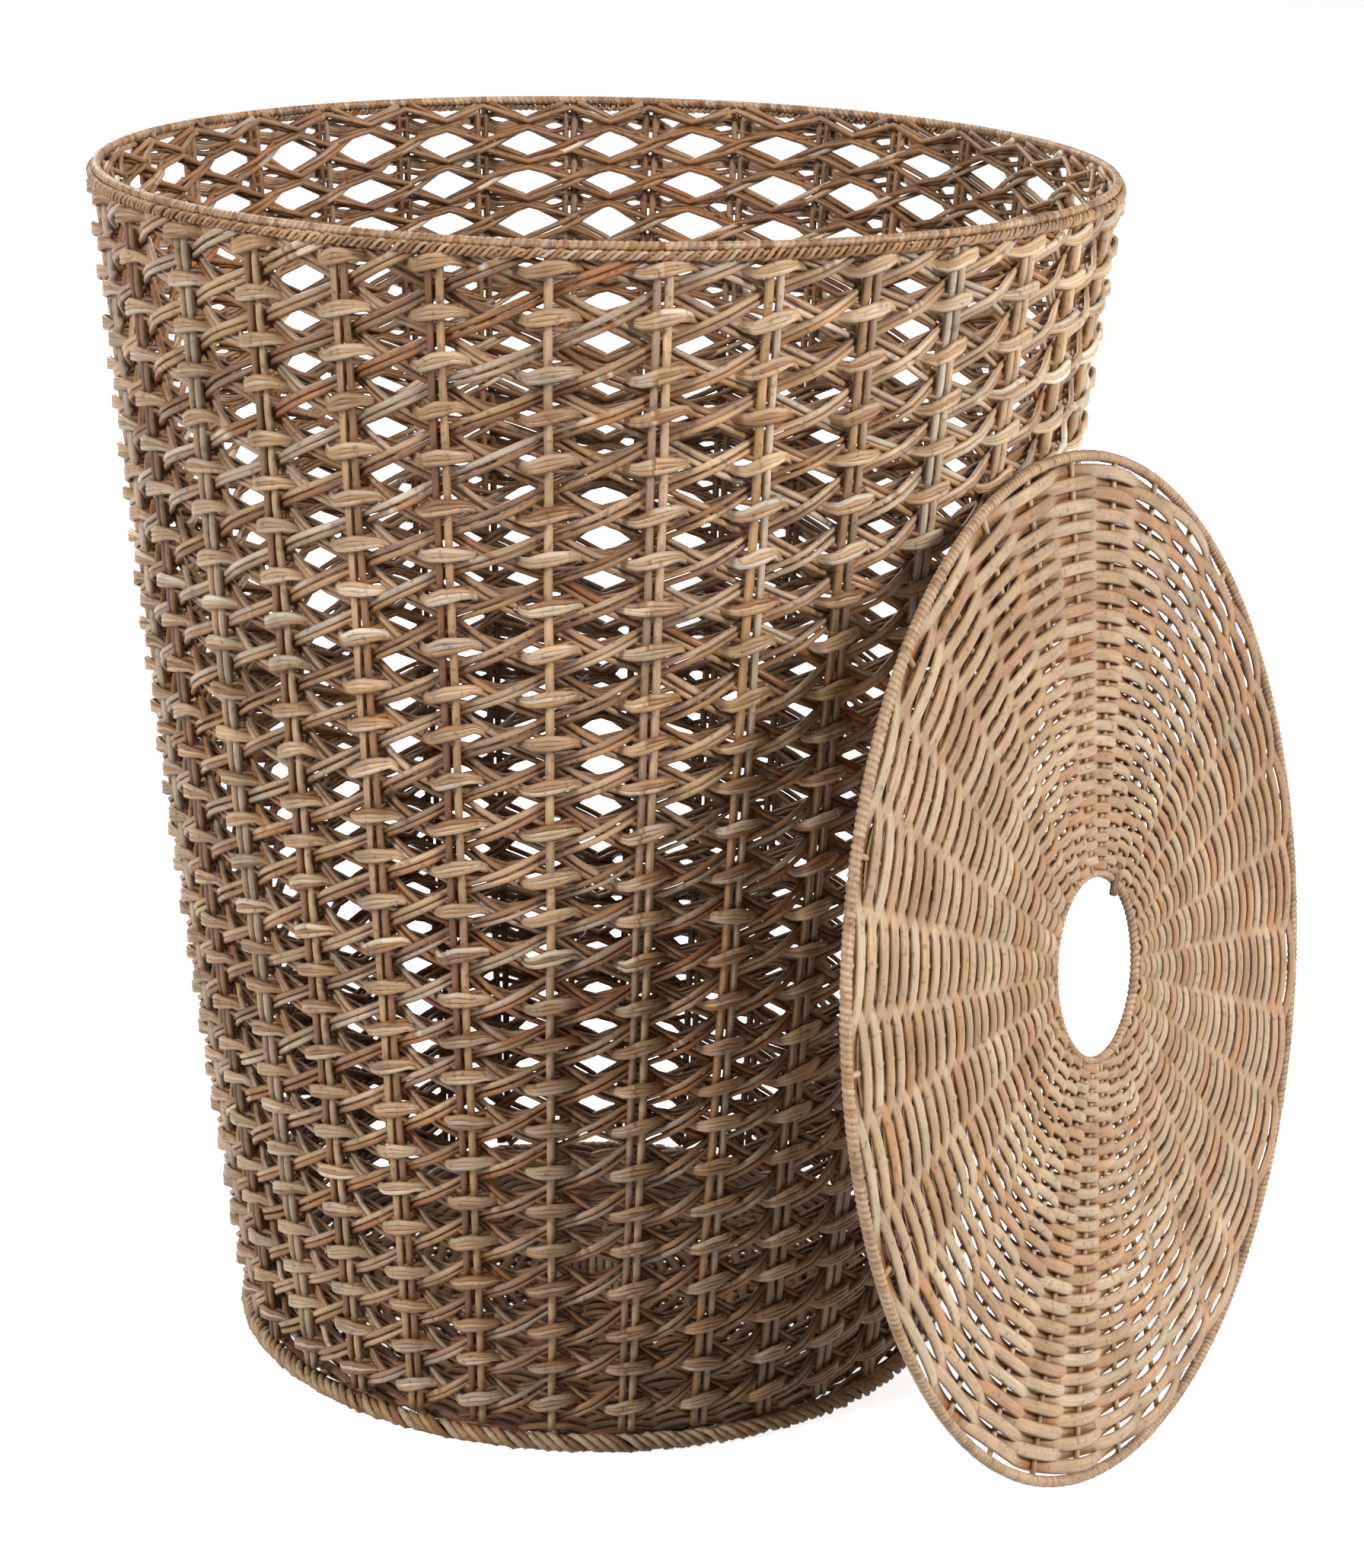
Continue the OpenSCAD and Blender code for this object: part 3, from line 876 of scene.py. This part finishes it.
def make_lid_weave():
    """The lid's woven bands: the outer rows rise more and cover less."""
    band_width = (LID_WEAVE_OUT - LID_WEAVE_IN) / LID_BANDS
    rows_made = 0
    for band, rows in enumerate(LID_BAND_ROWS, 1):
        pitch = (band_width + (LID_EDGE_REACH if band == LID_BANDS else 0)) / rows
        radii = LID_WEAVE_IN + band_width * (band - 1) + pitch * (0.5 + np.arange(rows))
        outward = (band - 1) / (LID_BANDS - 1)
        rise = LID_RISE + LID_RISE_GAIN * outward
        half_w = (LID_COVER - LID_COVER_LOSS * outward) * pitch
        woven = woven_face(
            f"woven_lid_{band}", radii, LID_SPOKES, 0.0, rise, half_w, LID_ROW_HALF_T, lid_cane,
            first=rows_made, painted_shading=LID_SIDE_SHADE, shaded_turn=LID_SHADED_TURN,
        )
        in_lid(woven, "lid_cane", f"lid_weave_{band}")
        rows_made += rows


def make_stray():
    """The cut end of a cane that shows in the lid's hole."""
    r = np.linspace(STRAY_END_R, STRAY_END_R + STRAY_LENGTH, STRAY_POINTS)
    z = np.linspace(STRAY_END_Z, STRAY_ROOT_Z, STRAY_POINTS)
    line = np.stack([r * math.cos(STRAY_TURN), r * math.sin(STRAY_TURN), z], -1)
    # its dark tint is painted shade, for the shadow on the cut end
    return sweep_flat("cane_stray_end", [line], half_w=1.45, half_t=1.2, material=hoop_cane, tint=0.9)


def make_lid():
    """The lid's spokes, its woven bands and its two wound hoops, made flat and turned to where it leans."""
    spokes = make_spokes(
        "cane_lid_spokes", LID_SPOKES, LID_SPOKE_IN, LID_SPOKE_OUT, 0.0, LID_SPOKE_HALF, lid_edge_cane
    )
    in_lid(spokes, "lid_spoke_cane", "lid_spokes")
    make_lid_weave()
    in_lid(plain_ring("hoop_lid", LID_HOOP_R, 0.0, half=1.1), "hoop_cane", "lid_rim_core")
    edge = wound_ring(
        "wound_lid_edge", LID_HOOP_R, 0.0,
        half_w=1.56, half_t=1.56, ridge=0.34, slant=0.9, material=lid_edge_cane,
    )
    in_lid(edge, "binding_cane", "lid_rim_binding")
    in_lid(plain_ring("hoop_hole", HOLE_HOOP_R, 0.0, half=0.8), "hoop_cane", "lid_hole_core")
    hole = wound_ring(
        "wound_hole", HOLE_HOOP_R, 0.0,
        half_w=1.4, half_t=1.15, ridge=0.4, slant=0.9, material=lid_edge_cane,
    )
    in_lid(hole, "binding_cane", "lid_hole_binding")
    in_lid(make_stray(), "lid_spoke_cane")


# The camera of the photograph, in metres and degrees, and its lens
CAMERA_PLACE = (0, -1.0944, 0.5194)
CAMERA_YAW = math.radians(1.3484)
CAMERA_PITCH = math.radians(17.5349)
CAMERA_ROLL = math.radians(1.2470)
FOCAL_PX = 4839.7
PHOTO_HEIGHT_PX = 2060
SENSOR_MM = 36.0
CAMERA_NEAR = 0.01

# Lamps: name, place, aim, width in metres and power in watts
LAMPS = (
    ("key", (1.38, -1.38, 1.22), (0, 0, 0.18), 0.5, 47),
    ("fill", (-1.75, -1.05, 1.1), (0, 0, 0.2), 0.6, 36),
    ("side", (1.8, 0.1, 0.9), (0, 0, 0.3), 1.4, 13),
    ("top", (0, 0.3, 1.9), (0, 0, 0), 1.0, 8),
    ("back", (-0.8, 1.75, 1.3), (0, 0, 0.2), 1.0, 24),
)

# Surroundings: light levels, and the floor's half width in metres
SKY_LIGHT = 0.09
BACKDROP = (0.95, 0.95, 0.95, 1)
FLOOR_HALF = 6
FLOOR_LIT = (0.3, 0.3, 0.3, 1)
FLOOR_ROUGH = 0.9
FLOOR_SHADED = (0.9, 0.9, 0.9, 1)
FLOOR_GLOW = 0.86


def add_camera():
    """The photograph's camera, turned by its yaw, its pitch and its roll."""
    level_reach = math.cos(CAMERA_PITCH)
    forward = np.array([
        math.sin(CAMERA_YAW) * level_reach, math.cos(CAMERA_YAW) * level_reach, -math.sin(CAMERA_PITCH)
    ])
    right = unit(np.cross(forward, UP))
    above = np.cross(right, forward)
    data = bpy.data.cameras.new("camera")
    data.sensor_width = SENSOR_MM
    data.lens = FOCAL_PX / PHOTO_HEIGHT_PX * SENSOR_MM
    data.clip_start = CAMERA_NEAR
    camera = bpy.data.objects.new("camera", data)
    matrix = np.eye(4)
    matrix[:3, 0] = math.cos(CAMERA_ROLL) * right + math.sin(CAMERA_ROLL) * above
    matrix[:3, 1] = -math.sin(CAMERA_ROLL) * right + math.cos(CAMERA_ROLL) * above
    matrix[:3, 2] = -forward
    matrix[:3, 3] = CAMERA_PLACE
    camera.matrix_world = mathutils.Matrix(matrix.tolist())
    bpy.context.scene.collection.objects.link(camera)
    bpy.context.scene.camera = camera


def add_lamp(name, place, aim, size, power):
    """A round area lamp that shines at its aim."""
    data = bpy.data.lights.new(name, "AREA")
    data.shape = "DISK"
    data.size = size
    data.energy = power
    lamp = bpy.data.objects.new(name, data)
    lamp.location = place
    ray = mathutils.Vector(aim) - mathutils.Vector(place)
    lamp.rotation_euler = ray.to_track_quat("-Z", "Y").to_euler()
    bpy.context.scene.collection.objects.link(lamp)


def show_or_light(tree, shows, lights, output):
    """Links one shader for rays that show the surroundings, also in gloss or glass, and one for others."""
    rays = tree.nodes.new("ShaderNodeLightPath").outputs
    showing = rays["Is Camera Ray"]
    for name in ("Is Glossy Ray", "Is Transmission Ray"):
        node = tree.nodes.new("ShaderNodeMath")
        node.operation = "MAXIMUM"
        tree.links.new(showing, node.inputs[0])
        tree.links.new(rays[name], node.inputs[1])
        showing = node.outputs["Value"]
    choose = tree.nodes.new("ShaderNodeMixShader")
    tree.links.new(showing, choose.inputs["Fac"])
    tree.links.new(lights, choose.inputs[1])
    tree.links.new(shows, choose.inputs[2])
    tree.links.new(choose.outputs["Shader"], tree.nodes[output].inputs["Surface"])


def add_world():
    """A faint even light, and a pale backdrop."""
    world = bpy.data.worlds.new("world")
    bpy.context.scene.world = world
    world.use_nodes = True
    tree = world.node_tree
    sky = tree.nodes["Background"]
    sky.inputs["Color"].default_value = WHITE
    sky.inputs["Strength"].default_value = SKY_LIGHT
    backdrop = tree.nodes.new("ShaderNodeBackground")
    backdrop.inputs["Color"].default_value = BACKDROP
    backdrop.inputs["Strength"].default_value = 1.0
    show_or_light(tree, backdrop.outputs["Background"], sky.outputs["Background"], "World Output")


def add_floor():
    """A pale floor that keeps the object's shadow."""
    corners = [(x * FLOOR_HALF, y * FLOOR_HALF, 0) for x, y in ((-1, -1), (1, -1), (1, 1), (-1, 1))]
    mesh = bpy.data.meshes.new("floor")
    mesh.from_pydata(corners, [], [(0, 1, 2, 3)])
    floor = bpy.data.objects.new("floor", mesh)
    bpy.context.scene.collection.objects.link(floor)
    paint = bpy.data.materials.new("floor_paint")
    paint.use_nodes = True
    tree = paint.node_tree
    matt = tree.nodes["Principled BSDF"]
    matt.inputs["Base Color"].default_value = FLOOR_LIT
    matt.inputs["Roughness"].default_value = FLOOR_ROUGH
    shaded = tree.nodes.new("ShaderNodeBsdfDiffuse")
    shaded.inputs["Color"].default_value = FLOOR_SHADED
    glow = tree.nodes.new("ShaderNodeEmission")
    glow.inputs["Strength"].default_value = FLOOR_GLOW
    bright = tree.nodes.new("ShaderNodeAddShader")
    tree.links.new(shaded.outputs["BSDF"], bright.inputs[0])
    tree.links.new(glow.outputs["Emission"], bright.inputs[1])
    show_or_light(tree, bright.outputs["Shader"], matt.outputs["BSDF"], "Material Output")
    mesh.materials.append(paint)


for row in range(1, ROWS + 1):
    make_row(row)
make_stakes("stakes_left", -1)
make_stakes("stakes_right", 1)
make_diagonals("lattice_rising", 1, at_stake=6.2, between=2.7)
make_diagonals("lattice_falling", -1, at_stake=8.0, between=4.5)
make_rim_and_foot()
make_base()
make_lid()

add_camera()
for lamp in LAMPS:
    add_lamp(*lamp)
add_world()
add_floor()
bpy.context.scene.view_settings.view_transform = "Standard"
